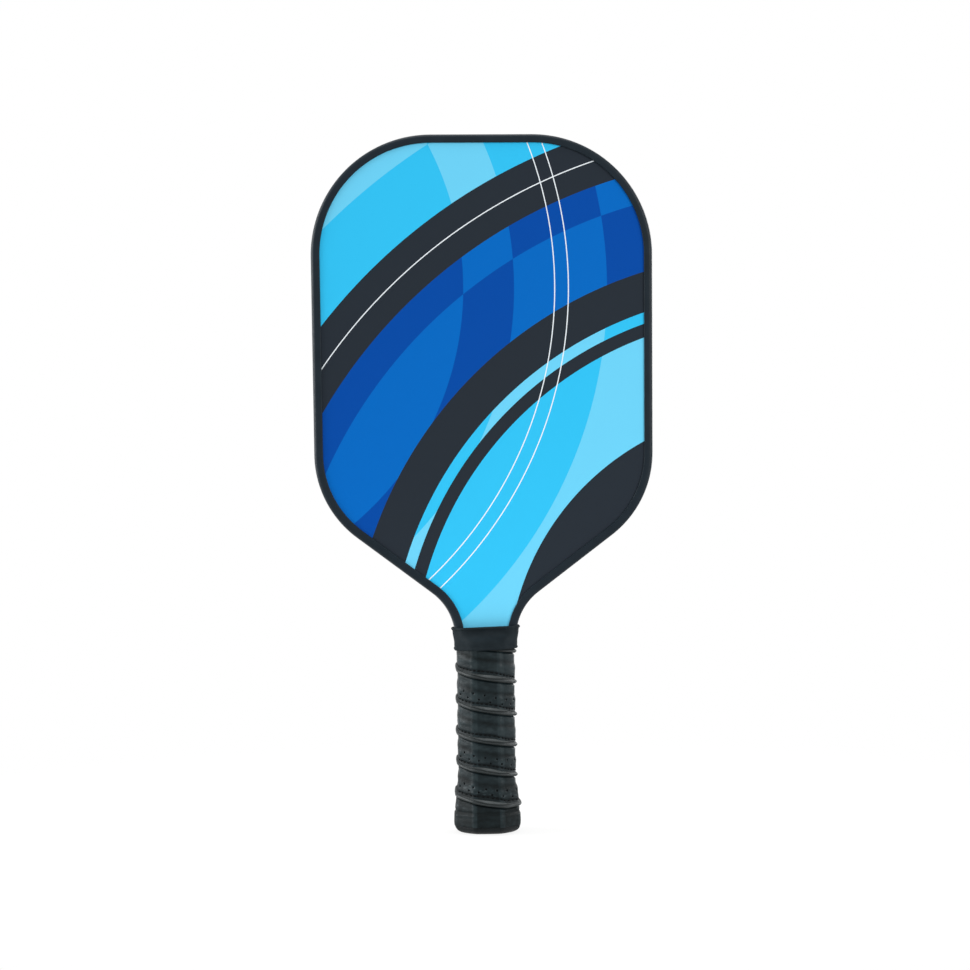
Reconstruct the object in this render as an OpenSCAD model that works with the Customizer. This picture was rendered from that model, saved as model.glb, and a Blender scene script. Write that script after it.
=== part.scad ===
// Pickleball paddle: a honeycomb panel between two face sheets, an edge guard round it,
// a two-part octagonal handle on the panel's tongue, a butt cap, a wound grip and a collar.
// Frame: the butt end stands on z = 0, Z runs up to the head, and the front looks along -Y.

/* [Head outline] */
// Overall length, from the butt end to the top edge
total_l = 406; // [390:1:425]
// Width of the head where its sides leave the top corners
head_w = 199; // [185:0.2:205]
// Lean of each side in towards the handle, in degrees
side_lean = 0.45; // [0:0.05:2]
// Radius of the top corners
top_r = 70; // [50:1:80]
// Radius of the shoulders, the lower corners
shoulder_r = 61; // [50:1:75]
// Slope of the edges below the shoulders, in degrees from the handle's axis
slant = 53; // [48:0.5:60]
// Radius of the hollow curves at the throat
throat_r = 33; // [24:1:38]
// Width of the neck over the edge guard
neck_w = 35.6; // [34:0.2:42]
// How far below the collar's upper edge the throat's curves turn straight
neck_drop = 7; // [3:0.5:8]

/* [Panel] */
// Thickness of the honeycomb core
core_t = 13; // [11:0.5:16]
// Width of a honeycomb cell across its flats
cell_w = 14; // [8:0.5:16]
// Thickness of the walls between cells
cell_wall = 0.6; // [0.4:0.1:1.2]
// Least solid rim round the core's edge
core_rim = 1.5; // [1:0.1:4]
// Thickness of each adhesive film
film_t = 0.15; // [0.1:0.05:0.4]
// Thickness of each face sheet
face_t = 0.5; // [0.3:0.1:1]
// Width of the tongue that runs down inside the handle
tongue_w = 22; // [16:0.5:24]

/* [Edge guard] */
// Thickness of the guard round the panel's edge
guard_web = 1.6; // [1.2:0.1:2.4]
// Width of the guard's lips over the faces, from its outer edge
lip_w = 4.8; // [4:0.1:6]
// Thickness of each lip
lip_t = 0.9; // [0.7:0.1:1.5]
// Radius of the guard's outer corners
guard_r = 2.6; // [1:0.1:2.8]
// Bevel along the inner edge of each lip
lip_bevel = 0.4; // [0.2:0.1:0.5]
// Play between the guard and the panel
guard_play = 0.1; // [0.1:0.05:0.2]
// Length of the guard's ends that is tucked under the collar
guard_tuck = 3.5; // [2:0.5:3.5]
// How far the guard's ends stop above the tongue's shoulders
guard_step = 0.5; // [0.2:0.1:1]

/* [Handle] */
// Width of the bare handle across its side flats
handle_w = 28.8; // [27:0.1:31]
// Thickness of the bare handle from front to back
handle_t = 26.4; // [24:0.1:29]
// Leg of the bevels between the flats
handle_bevel = 7; // [6:0.1:9]
// Thickness that the handle keeps over each face at its upper end
ramp_t = 4; // [2:0.1:5]
// Play between the handle halves and what they sit on
handle_play = 0.1; // [0.05:0.05:0.2]

/* [Butt cap] */
// Height of the butt cap
cap_h = 27; // [24:0.5:32]
// Thickness of its floor
cap_floor = 3; // [2:0.1:5]
// Height of its lip, below the grip
cap_lip = 4.2; // [3.8:0.1:6]
// Rounding under the lip
cap_round = 3.4; // [1:0.1:3.6]
// Height of the knee where the cap stops flaring
cap_knee = 15.5; // [14:0.5:20]
// Growth of the cap over the bare handle at its upper edge
cap_edge = 0.6; // [0.5:0.1:1.2]
// Growth at the knee
cap_flare = 2.1; // [1.6:0.1:3]
// Growth at the lip's upper edge
cap_foot = 2.8; // [2:0.1:3.4]
// Length over which the grip eases in above the cap
cap_ease = 3; // [2:0.5:5]
// Height of the staples
staple_z = 11; // [9:0.5:13]
// Width of a staple
staple_w = 10; // [6:0.5:12]
// Diameter of a staple's wire
staple_d = 1.2; // [0.8:0.1:1.6]
// Depth that a staple reaches into the handle
staple_bite = 4; // [2:0.5:4.5]

/* [Grip] */
// Thickness of the grip tape
tape_t = 1.7; // [1.2:0.1:2.4]
// Rise of the tape for each turn
tape_pitch = 17.8; // [14:0.2:22]
// Gap between one turn and the next
tape_seam = 0.5; // [0.45:0.05:1]
// Width of the tape's tapered ends
tape_tip = 1; // [1:0.1:3]
// Height of the grip's upper edge, under the collar
tape_top = 109; // [108:0.5:111]
// Play under the tape
tape_play = 0.2; // [0.15:0.05:0.3]
// Width of the piping along the tape's lower edge
piping_w = 3.8; // [2:0.1:4.4]
// Height of the piping over the tape
piping_h = 1.1; // [0.6:0.1:1.6]
// Play between the piping and the tape
piping_play = 0.05; // [0.05:0.05:0.2]
// Turn of the tape at which the piping starts
piping_turn = 1.3; // [1.2:0.05:2]

/* [Collar] */
// Height of the collar's lower edge
collar_z = 106.5; // [105:0.5:107]
// Height of the collar
collar_h = 13.5; // [13:0.5:17]
// Height of the collar's straight lower part
collar_band = 5; // [4.5:0.5:6]
// Thickness of the collar at its upper end
collar_t = 0.7; // [0.4:0.1:1]
// Thickness of its straight lower part
collar_band_t = 1.5; // [0.4:0.1:1.8]
// Thickness that the rolled beads stand out by
bead_t = 0.2; // [0.1:0.1:1]
// Height of each bead
bead_h = 1.8; // [1.2:0.1:2.5]
// Bevel of the corners at the collar's upper end
collar_corner = 5; // [3:0.5:6]
// Thickness of the lip that closes the collar's upper end down to the guard
collar_lip = 0.8; // [0.6:0.1:1.5]
// Play round what the collar hugs
collar_play = 0.2; // [0.15:0.05:0.4]
// Thickness of the finishing tape under the collar
finish_t = 0.3; // [0.2:0.05:0.5]
// Height of the finishing tape
finish_h = 2; // [1.5:0.1:2.4]

/* [Hidden] */
$fn = 48;
panel_t = core_t + 2 * film_t + 2 * face_t;
guard_t = panel_t + 2 * (guard_play + lip_t);
panel_inset = guard_web + guard_play;
collar_top = collar_z + collar_h;
neck_z = collar_top - neck_drop;
// The guard's ends, the tongue's shoulders and the handle's upper end meet under the collar
guard_end = collar_top - guard_tuck;
shoulder_z = guard_end - guard_step;
handle_top = shoulder_z - handle_play;
// The handle is an octagon, whose bevels grow by this share when its flats move out
flats = 8;
flat_step = 360 / flats;
mitre = 2 - sqrt(2);
// Thickness of the plates that hulls are stretched between, and overshoot of a cut
skin = 0.01;
over = 1;

// Unit vectors out of the sides, the slanting edges and any other direction
function dir(a) = [cos(a), sin(a)];
side_out = dir(-side_lean);
slant_out = dir(-slant);

// Centres of the outline's arcs on the right-hand side. Every inset outline shares them.
top_c = [head_w / 2 - top_r, total_l - top_r];
throat_c = [neck_w / 2 + throat_r, neck_z];
side_d = top_c * side_out + top_r;
slant_d = throat_c * slant_out - throat_r;
shoulder_c = meet(side_out, side_d - shoulder_r, slant_out, slant_d - shoulder_r);

// Point p where p * a == da and p * b == db
function meet(a, da, b, db) =
    let (det = a.x * b.y - a.y * b.x)
    [(da * b.y - db * a.y) / det, (a.x * db - b.x * da) / det];

// Outlines

// Stations of an arc: [point of the outer edge, way in to the panel]
function bend(centre, r, a0, a1, steps, way) =
    [for (i = [0 : steps]) let (a = a0 + (a1 - a0) * i / steps) [centre + r * dir(a), way * dir(a)]];

// Stations down the right-hand edge, from the top to the end of the guard
top_steps = 20;
shoulder_steps = 12;
throat_steps = 9;
throat_end = 180 - asin((guard_end - neck_z) / throat_r);
right_edge = concat(
    bend(top_c, top_r, 90, -side_lean, top_steps, -1),
    bend(shoulder_c, shoulder_r, -side_lean, -slant, shoulder_steps, -1),
    bend(throat_c, throat_r, 180 - slant, throat_end, throat_steps, 1)
);
left_edge = [for (i = [len(right_edge) - 1 : -1 : 0]) [for (v = right_edge[i]) [-v.x, v.y]]];

// Half-width of the throat at height z
function edge_half(z) = throat_c.x - sqrt(throat_r ^ 2 - (z - neck_z) ^ 2);

function flip(points) = [for (i = [len(points) - 1 : -1 : 0]) [-points[i].x, points[i].y]];

// The panel's outline, with its tongue, grown by play
module panel_outline(play = 0) {
    edge = [for (station = right_edge) station[0] + (panel_inset - play) * station[1]];
    corner = [edge[len(edge) - 1].x, shoulder_z - play];
    half = tongue_w / 2 + play;
    right = concat(edge, [corner, [half, shoulder_z - play], [half, cap_floor - play]]);
    polygon(concat(right, flip(right)));
}

// Turns a drawing in X and Z into a slab from y to y + t
module slab(y, t) {
    translate([0, y + t, 0]) rotate([90, 0, 0]) linear_extrude(t) children();
}

// Octagon of the bare handle, every flat moved out by e
function octagon(e) =
    let (w = handle_w / 2 + e, t = handle_t / 2 + e, b = handle_bevel + e * mitre)
    [[w, b - t], [w, t - b], [w - b, t], [b - w, t], [-w, t - b], [-w, b - t], [b - w, -t], [w - b, -t]];

module octagon_prism(e, z0, z1) {
    translate([0, 0, z0]) linear_extrude(z1 - z0) polygon(octagon(e));
}

// Tube through rings of as many points each, closed at both ends by the end faces of a ring
module tube(rings, end_faces) {
    sides = len(rings[0]);
    last = len(rings) - 1;
    walls = [
        for (i = [0 : last - 1], s = [0 : sides - 1])
            let (a = i * sides + s, b = i * sides + (s + 1) % sides)
            each [[a, a + sides, b], [b, a + sides, b + sides]]
    ];
    far_faces = [for (f = end_faces) [for (i = [2, 1, 0]) f[i] + last * sides]];
    polyhedron([for (ring = rings, p = ring) p], concat(walls, end_faces, far_faces));
}

// Panel

// Is a point of the panel at least d inside the outline of the edge guard?
function in_head(p, d) =
    let (
        q = [abs(p.x), p.y],
        from_top = q - top_c,
        from_shoulder = q - shoulder_c,
        under_shoulder = from_shoulder * dir(-side_lean - 90) > 0 && from_shoulder * dir(90 - slant) > 0
    )
    q.y <= total_l - d && q * side_out <= side_d - d && q * slant_out <= slant_d - d
    && (min(from_top) < 0 || norm(from_top) <= top_r - d)
    && (!under_shoulder || norm(from_shoulder) <= shoulder_r - d);

function in_neck(p, d) =
    let (q = [abs(p.x), p.y], throat = throat_c - (throat_r + d) * slant_out)
    q.y >= shoulder_z + d - panel_inset && q.y <= throat.y && q.x <= throat.x
    && norm(q - throat_c) >= throat_r + d;

function in_tongue(p, d) =
    abs(p.x) <= tongue_w / 2 + panel_inset - d
    && p.y >= cap_floor + d - panel_inset && p.y <= neck_z + throat_r / 2;

function in_panel(p, d) = in_head(p, d) || in_neck(p, d) || in_tongue(p, d);

cell_step = cell_w + cell_wall;
cell_r = cell_w / sqrt(3);
cell_rows = ceil(total_l / (cell_step * sqrt(3) / 2));
cell_columns = ceil(head_w / cell_step / 2) + 1;

function cell_centre(row, column) = [
    (column + (row % 2) / 2) * cell_step,
    neck_z + (row - floor(cell_rows / 3)) * cell_step * sqrt(3) / 2
];

// Every whole cell that leaves the rim solid
cells = [
    for (row = [0 : cell_rows], column = [-cell_columns : cell_columns])
        let (
            c = cell_centre(row, column),
            corners = [for (i = [0 : 5]) c + cell_r * dir(30 + 60 * i)],
            whole = [for (p = corners) if (in_panel(p, panel_inset + core_rim)) 1]
        )
        if (len(whole) == 6) c
];

module honeycomb_core() {
    color("lightgray") slab(-core_t / 2, core_t) difference() {
        panel_outline();
        for (c = cells) translate(c) rotate(30) circle(cell_r, $fn = 6);
    }
}

module front_film() {
    color("khaki") slab(-core_t / 2 - film_t, film_t) panel_outline();
}

module back_film() {
    color("khaki") slab(core_t / 2, film_t) panel_outline();
}

module front_face_sheet() {
    color("royalblue") slab(-panel_t / 2, face_t) panel_outline();
}

module back_face_sheet() {
    color("royalblue") slab(panel_t / 2 - face_t, face_t) panel_outline();
}

// Edge guard

// Half of the guard's section, [inwards from its outer edge, across the panel], from lip to web
guard_steps = 3;
lip_under = panel_t / 2 + guard_play;
half_section = concat(
    [[lip_w, lip_under], [lip_w, guard_t / 2 - lip_bevel], [lip_w - lip_bevel, guard_t / 2]],
    [for (i = [0 : guard_steps]) [guard_r, guard_t / 2 - guard_r] + guard_r * dir(90 + 90 * i / guard_steps)]
);
half_last = len(half_section) - 1;
guard_section = concat(
    half_section,
    [for (i = [half_last : -1 : 0]) [half_section[i].x, -half_section[i].y]],
    [[guard_web, -lip_under], [guard_web, lip_under]]
);

// Its end, as triangles that fan out from the two inner corners of the channel
guard_last = len(guard_section) - 1;
guard_end_faces = concat(
    [for (i = [0 : half_last]) [guard_last, i, i + 1]],
    [for (i = [half_last + 1 : 2 * half_last]) [guard_last - 1, i, i + 1]],
    [[guard_last, half_last + 1, guard_last - 1]]
);

module edge_guard() {
    rings = [
        for (station = concat(left_edge, right_edge)) [
            for (q = guard_section) let (p = station[0] + q.x * station[1]) [p.x, q.y, p.y]
        ]
    ];
    color("#202326") tube(rings, guard_end_faces);
}

// Handle

// Side profile of a half: full thickness up to the grip's end, then a ramp up to the collar
module half_profile() {
    polygon([
        [0, cap_floor], [handle_t / 2, cap_floor], [handle_t / 2, tape_top],
        [panel_t / 2 + ramp_t, handle_top], [0, handle_top]
    ]);
}

// Legs of a staple, grown by play, for the front
module staple_legs(play = 0) {
    reach = handle_t / 2 - staple_bite;
    for (x = [-1, 1] * (staple_w - staple_d) / 2)
        translate([x, -reach, staple_z]) rotate([90, 0, 0])
            cylinder(d = staple_d + 2 * play, h = staple_face() - reach);
}

// Half of the handle in front of the panel
module handle_half() {
    difference() {
        intersection() {
            octagon_prism(0, cap_floor, handle_top);
            rotate([90, 0, -90]) linear_extrude(2 * handle_w, center = true) half_profile();
        }
        slab(-panel_t / 2 - handle_play, panel_t + 2 * handle_play) panel_outline(handle_play);
        staple_legs(handle_play / 2);
    }
}

module front_handle_half() {
    color("burlywood") handle_half();
}

module back_handle_half() {
    color("burlywood") mirror([0, 1, 0]) handle_half();
}

// Butt cap

// Growth of the cap over the bare handle at height z, and of the grip above it
cap_growth = [[0, cap_foot], [cap_lip, cap_foot], [cap_knee, cap_flare], [cap_h, cap_edge], [cap_h + cap_ease, 0]];
function growth(z) = lookup(z, cap_growth);

// Distance from the axis to a staple's outer face
function staple_face() = handle_t / 2 + growth(staple_z + staple_d);

// A thin octagonal plate for the cap's hulls, with its upper side at z
module plate(e, z) {
    octagon_prism(e, z - skin, z);
}

cap_steps = 3;
module cap_outside() {
    lip_e = cap_foot + tape_play + tape_t;
    hull() {
        for (i = [0 : cap_steps]) let (a = 90 * i / cap_steps)
            plate(lip_e - cap_round * (1 - sin(a)), max(skin, cap_round * (1 - cos(a))));
        plate(lip_e, cap_lip);
    }
    hull() {
        plate(cap_foot, cap_lip);
        plate(cap_flare, cap_knee);
    }
    hull() {
        plate(cap_flare, cap_knee);
        plate(cap_edge, cap_h);
    }
}

module butt_cap() {
    color("#1b1d1f") difference() {
        cap_outside();
        octagon_prism(handle_play, cap_floor, cap_h + over);
        for (side = [0, 1]) mirror([0, side, 0]) {
            staple_legs(handle_play / 2);
            translate([-staple_w / 2, -handle_t, staple_z - staple_d / 2])
                cube([staple_w, handle_t - staple_face() + staple_d, staple_d]);
        }
    }
}

module staple() {
    staple_legs();
    translate([-staple_w / 2, -staple_face(), staple_z - staple_d / 2])
        cube([staple_w, staple_d, staple_d]);
}

module butt_cap_staples() {
    color("silver") for (side = [0, 1]) mirror([0, side, 0]) staple();
}

// Grip

// Stations round the handle, three to each flat, taken against the clock as seen from above
stations = 3 * flats;
function flat_length(i) = norm(octagon(0)[(i + 1) % flats] - octagon(0)[i % flats]);
corner_arc = (tape_play + tape_t) * PI * flat_step / 360;
perimeter = sum([for (i = [0 : flats - 1]) flat_length(i) + 2 * corner_arc]);

function sum(v, i = 0) = i < len(v) ? v[i] + sum(v, i + 1) : 0;

// Way along the perimeter to a station, as a share of a turn
function station_turn(s) =
    let (flat = floor(s / 3), third = s % 3)
    (sum([for (i = [0 : 1 : flat - 1]) flat_length(i) + 2 * corner_arc])
        + corner_arc + third / 2 * flat_length(flat)) / perimeter;

// The tape starts at the back edge of the left side and winds clockwise as it rises
start_flat = 4;
first_station = 3 * start_flat;
function ring_station(k) = ((first_station - k) % stations + stations) % stations;
function ring_turn(k) =
    let (turns = floor((k + stations - 1 - first_station) / stations))
    turns + station_turn(first_station) - station_turn(ring_station(k));

// Point at a station, off the octagon grown by e, moved out by o
function station_point(s, e, o, z) =
    let (
        flat = floor(s / 3), v = octagon(e), share = (s % 3) / 2,
        p = v[flat] * (1 - share) + v[(flat + 1) % flats] * share + o * dir(flat_step * flat)
    )
    [p.x, p.y, z];

tape_z = cap_lip + tape_play;
function tape_low(t) = max(tape_z, tape_z + tape_tip + tape_seam + tape_pitch * (t - 1));
function tape_high(t) = min(tape_top, tape_z + tape_tip + tape_pitch * t);
tape_turns = 1 + (tape_top - tape_z - 2 * tape_tip - tape_seam) / tape_pitch;
tape_rings = [for (k = [0 : stations * ceil(tape_turns + 1)]) if (ring_turn(k) <= tape_turns) k];

// Ring of the tape: low, middle and high on its inner side, and back down its outer side
function tape_ring(k) =
    let (
        s = ring_station(k), low = tape_low(ring_turn(k)), high = tape_high(ring_turn(k)),
        zs = [low, (low + high) / 2, high, high, (low + high) / 2, low]
    )
    [for (i = [0 : 5]) station_point(s, growth(zs[i]), tape_play + (i < 3 ? 0 : tape_t), zs[i])];

// Ring of the piping, a low arch that sits on the tape just above its lower edge
piping_seat = tape_play + tape_t + piping_play;
piping_arch = [[0, 0], [1, 0], [1, 0.45], [0.7, 1], [0.3, 1], [0, 0.45]];
function piping_ring(k) =
    let (low = tape_low(ring_turn(k)))
    [for (a = piping_arch) let (z = low + a.x * piping_w)
        station_point(ring_station(k), growth(z), piping_seat + a.y * piping_h, z)];
piping_rings = [
    for (k = tape_rings)
        if (ring_turn(k) >= piping_turn && tape_low(ring_turn(k)) + piping_w < collar_z - collar_play) k
];

// End of a ring of six points
strip_end_faces = [[0, 1, 4], [0, 4, 5], [1, 2, 3], [1, 3, 4]];

// Least gap between points of rings that lie one turn apart
function turn_gap(rings, high, low) =
    min([for (i = [0 : len(rings) - stations - 1]) norm(rings[i][high] - rings[i + stations][low])]);

module grip_tape() {
    rings = [for (k = tape_rings) tape_ring(k)];
    echo(tape_turns = tape_turns, least_gap_between_turns = turn_gap(rings, 2, 0));
    color("#3a3e40") tube(rings, strip_end_faces);
}

module grip_piping() {
    rings = [for (k = piping_rings) piping_ring(k)];
    echo(piping_rings = len(rings), least_gap_between_turns = turn_gap(rings, 1, 0));
    color("#4b4f51") tube(rings, strip_end_faces);
}

// Thin tape that holds the grip's upper end
finish_in = tape_play + tape_t + collar_play / 2;
module finishing_tape() {
    color("black") difference() {
        octagon_prism(finish_in + finish_t, tape_top - finish_h, tape_top);
        octagon_prism(finish_in, tape_top - finish_h - over, tape_top + over);
    }
}

// Collar

collar_in = finish_in + finish_t + collar_play;
neck_gap_w = 2 * (edge_half(collar_top) + collar_play);
neck_gap_t = guard_t + 2 * collar_play;
collar_top_t = panel_t + 2 * (ramp_t + collar_play);

// Prism of the collar's upper end, grown by e
module collar_head(e, z0, z1) {
    w = neck_gap_w / 2 + e;
    t = collar_top_t / 2 + e;
    c = collar_corner + e * mitre;
    right = [[w - c, -t], [w, c - t], [w, t - c], [w - c, t]];
    translate([0, 0, z0]) linear_extrude(z1 - z0) polygon(concat(right, flip(right)));
}

// The collar's form, from the octagon of the grip, grown by band_e, to the flatter neck, grown by head_e
module collar_form(band_e, head_e, z0, z1) {
    hull() {
        octagon_prism(collar_in + band_e, z0, collar_z + collar_band);
        collar_head(head_e, guard_end - collar_play, z1);
    }
}

module collar() {
    color("#17191b") difference() {
        union() {
            collar_form(collar_band_t, collar_t, collar_z, collar_top);
            octagon_prism(collar_in + collar_band_t + bead_t, collar_z, collar_z + bead_h);
            collar_head(collar_t + bead_t, collar_top - bead_h, collar_top);
        }
        collar_form(0, 0, collar_z - over, collar_top - collar_lip);
        translate([-neck_gap_w / 2, -neck_gap_t / 2, collar_top - collar_lip - over])
            cube([neck_gap_w, neck_gap_t, collar_lip + 2 * over]);
    }
}

honeycomb_core();
front_film();
back_film();
front_face_sheet();
back_face_sheet();
edge_guard();
front_handle_half();
back_handle_half();
butt_cap();
butt_cap_staples();
grip_tape();
grip_piping();
finishing_tape();
collar();
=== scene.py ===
"""The looks of a pickleball paddle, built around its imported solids.

Lengths are millimetres, as in the part's source, and become metres where an object or a material is made.
X runs across the head, Y from the front to the back, and Z up from the butt.
A ridge is given by its height, centre and width, and a layer of noise by its height, shift and sizes.
"""

import math

import bmesh
import bpy
import numpy as np
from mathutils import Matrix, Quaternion, Vector, noise


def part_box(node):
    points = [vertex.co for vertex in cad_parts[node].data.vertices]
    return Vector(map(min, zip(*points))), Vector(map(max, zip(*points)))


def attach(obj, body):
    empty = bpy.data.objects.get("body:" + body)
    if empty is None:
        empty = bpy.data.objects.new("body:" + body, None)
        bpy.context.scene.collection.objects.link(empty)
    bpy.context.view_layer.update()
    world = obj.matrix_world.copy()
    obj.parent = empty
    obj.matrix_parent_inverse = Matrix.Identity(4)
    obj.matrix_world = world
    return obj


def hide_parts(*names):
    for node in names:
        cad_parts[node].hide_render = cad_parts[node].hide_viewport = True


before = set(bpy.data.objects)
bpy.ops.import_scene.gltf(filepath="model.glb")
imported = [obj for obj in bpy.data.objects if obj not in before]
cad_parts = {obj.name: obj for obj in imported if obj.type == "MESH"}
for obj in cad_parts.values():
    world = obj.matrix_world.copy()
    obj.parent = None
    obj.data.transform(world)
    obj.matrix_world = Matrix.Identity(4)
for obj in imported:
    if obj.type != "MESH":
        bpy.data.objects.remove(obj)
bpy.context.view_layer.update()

MM = 0.001


def node_box(name):
    """Lowest and highest corner of a CAD node."""
    low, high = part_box(name)
    return np.array(low) / MM, np.array(high) / MM


# Head, read from the solids
GUARD_LOW, GUARD_HIGH = node_box("edge_guard")
HEAD_HALF = GUARD_HIGH[0]
TOTAL_L = GUARD_HIGH[2]
GUARD_HALF = GUARD_HIGH[1]
GUARD_END = GUARD_LOW[2]
FACE_HALF = -node_box("front_face_sheet")[0][1]

# Outline of the head: corner arcs, the lean of the sides, the slant below the shoulders, the throat
TOP_R = 70
TOP_STEPS = 44
SHOULDER_R = 61
SHOULDER_STEPS = 28
SIDE_LEAN = 0.45
SLANT = 53
THROAT_R = 33
THROAT_STEPS = 18
NECK_W = 35.6
NECK_Z = 113

# Section of the edge guard
GUARD_WEB = 1.6
GUARD_ROUND = 2.3
GUARD_ROUND_STEPS = 10
GUARD_CROWN = 0.25
GUARD_CROWN_STEPS = 5
LIP_W = 5.3
LIP_RISE = 0.25
LIP_ROUND = 0.6
LIP_ROUND_STEPS = 5
LIP_GAP = 0.06

# Octagon of the handle
HANDLE_W = 28.8
HANDLE_T = 26.4
HANDLE_BEVEL = 7.1
FLATS = 8
FLAT_TURN = 360 / FLATS
FLAT_STEPS = 30
CORNER_STEPS = 8
SOFT_CORNER = 3
FLARE_SHARPEN = 0.6
CROWN_H = 0.25

# Butt cap, with the flare that the grip follows
CAP_HIGH = node_box("butt_cap")[1]
CAP_GROW = CAP_HIGH[0] - HANDLE_W / 2
CAP_LIP = 4.2
CAP_ROUND = 7
CAP_ROUND_STEPS = 12
CAP_DRAW = 0.4
CAP_FLOOR = 3
CAP_CENTRE = -11
FOOT_EDGE = ((1.1, 0.5), (0.8, 0.2), (0.4, 0))
SLEEVE_IN = 0.1
SLEEVE_Z = (8, 14, 20, 25)
TAPE_SEAT = 0.02
FLARE_Z = (0, 4.2, 15.5, 27, 30)
FLARE_GROW = (2.8, 2.8, 2.1, 0.6, 0)
FLARE_EASE = 2
FLARE_SAMPLES = 9
FLARE_BEVEL = 0.3

# Grip tape: wound clockwise as it rises, from the back edge of the left side
TAPE_LOW, TAPE_HIGH = node_box("grip_tape")
TAPE_PLAY = 0.2
TAPE_R = 1.9
TAPE_PITCH = 17.8
TAPE_START_Z = 5.5
FIRST_FLAT = 4
ROW_STEP = 0.4
INNER_Z = (34, 30, 27, 22, 15.5, 10)

# How far the winding strays from an even rise, by turn
DRIFT_TURN = (1, 1.4, 1.6, 2.6, 3.6, 4.6, 5.6, 7)
DRIFT = (1.8, 1.8, -1.3, -0.8, -1.2, -1.2, -0.2, -0.2)
DRIFT_SWAY = 1.5
SWAY_SHARE = 0.715
LAST_TURN = DRIFT_TURN[-1]

# Relief of the tape, by height above its lower edge, below the next turn or above the butt
RIB_EASE = 0.1
OVERLAP_H = 0.35
OVERLAP_EDGE = (10.2, 12.4)
OVERLAP_RIDGE = (0.16, 9.2, 1.3)
GROOVE_DEPTH = 0.45
GROOVE_W = 0.7
SEAM_DEPTH = 0.85
SEAM_EDGE = (0.1, 1.3)
BUTT_FOLD_H = 0.28
BUTT_FOLD_EDGE = (11.4, 13)
BUTT_RIDGE = (0.12, 10.8, 0.9)
BUTT_GROOVE = (0.4, 12.5, 1)
DRAW_EDGE = (-1, 3.6)
CREASES = ((0.1, 0, (11, 11, 2.2)), (0.07, 40, (5, 5, 5)))

# Painted light of the tape, by the same heights: how light its leather is drawn, from 0 to 1. Painted shade
# at the overlap's step, in the stitch groove, under the next turn, towards the butt and in the butt's
# crease; painted highlights on the overlap's bulge and just under the next turn
TAPE_WEAR = 0.55
OVERLAP_SHADE = (0.42, 11.9, 1.3)
GROOVE_SHADE = 0.4
GROOVE_SHADE_W = 1
OVERLAP_RUB = (0.15, 8.4, 1.8)
EDGE_RUB = (0.1, 3, 1.6)
SEAM_SHADE = (0.15, 0.2, 0.8)
LOW_SHADE = 0.22
LOW_SHADE_EDGE = (20, 48)
BUTT_SHADE = 0.14
BUTT_CREASE = (0.4, 12.4, 1.2)
BLOTCHES = ((0.25, 0, (9, 9, 5)), (0.2, 80, (2.6, 2.6, 1.6)))
# Painted highlights on the corners of the front and back, stronger near the butt
CORNER_RUB = 0.29
CORNER_RUB_EDGE = (14, 24)
CORNER_SHARE = 0.2
# Lighter scuffs with painted glints of creased leather, on the lowest perforated band
SCUFFS = ((2.4, 120, (2.2, 2.2, 1)),)
SCUFF_LEAST = 0.36
SCUFF_BAND = (1, 8.5, 2.6)
SCUFF_START = (12, 16)
SCUFF_END = (26, 36)

# Piping along the tape's lower edge: a cord below a folded edge that rises on the wide flats
FRONT_SHARE = 0.69
CORD_W = 2.2
CORD_GIVE = 0.7
CORD_H = 1.1
CORD_PRESS = 0.2
CORD_VARY = 0.2
FOLD_W = 2
FOLD_LEAST_W = 0.05
FOLD_H = 1
FOLD_LEAST_H = 0.15
FOLD_VARY = 0.15
EDGE_VARY = 0.25
TWIST_NOISE = (9, 0, 0)
SWELL_NOISE = (7, 9, 0)
SWAY_NOISE = (5, 0, 9)
PIPING_STEPS = 25
PIPING_FULL = 0.75
PIPING_LAP = 0.1
PIPING_SINK = 0.4
PIPING_BASE = (0.9, 0.1)
PIPING_SEAT = 0.3
PIPING_TURN = 1.3
PIPING_TIP = 0.004
PIPING_TAPER = 0.03
PIPING_TUCK = 1
PIPING_PRESS = 0.7
PRESS_EDGE = (-0.6, 0.4)
LAP_Z = 0.9
# Painted light on the piping: lighter with the height of its surface, with a painted highlight on the fold's
# upper part and painted shade on the cord, on the wide flats
CORD_WEAR = 0.1
CORD_RUB = 0.52
FOLD_RUB = 0.75
FOLD_SHADE = 0.22

# Row of stitches above the piping
STITCH_W = 3.7
STITCH_GIVE = 1.5
STITCH_STEP = 2.6
STITCH_L = 1.7
STITCH_R = 0.48
STITCH_RINGS = 7
STITCH_SIDES = 6
STITCH_TIP = 0.15
STITCH_BLUNT = 0.6
STITCH_LIFT = 0.02
STITCH_VARY = 0.25
STITCH_RISE_NOISE = (40, 3, 0)
STITCH_LENGTH_NOISE = (60, 0, 5)
FIRST_STITCH = 0.01
LAST_STITCH = 0.4

# Perforations: two staggered rows on some turns
HOLE_TURNS = (1, 2, 4)
HOLE_ROWS = (6.5, 9.5)
HOLE_STEP = 6.6
HOLE_R = (0, 0.34, 0.52)
HOLE_DEPTH = (0.8, 0.7, 0)
HOLE_STRAY = 90
HOLE_LINES = (0, 9)

# Collar over the grip's upper end
COLLAR_LOW, COLLAR_HIGH = node_box("collar")
COLLAR_IN = 2.5
COLLAR_BAND_WALL = 1.35
COLLAR_HEAD_WALL = 0.4
COLLAR_WALL_STEPS = 9
COLLAR_WALL_END = 2.6
COLLAR_INSIDE = (3, 2, 0.6)
COLLAR_INSIDE_LIP = 0.1
COLLAR_SOFT = 5.5
COLLAR_WAVES = ((0.09, 0, (9, 9, 4)),)
COLLAR_BAND = 5
COLLAR_HEAD_Z = 116.3
COLLAR_HEAD_T = 22.7
COLLAR_HEAD_PLAY = 0.2
COLLAR_EASE = 1
COLLAR_CORNER = 2
COLLAR_TILT = 1.8

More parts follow.
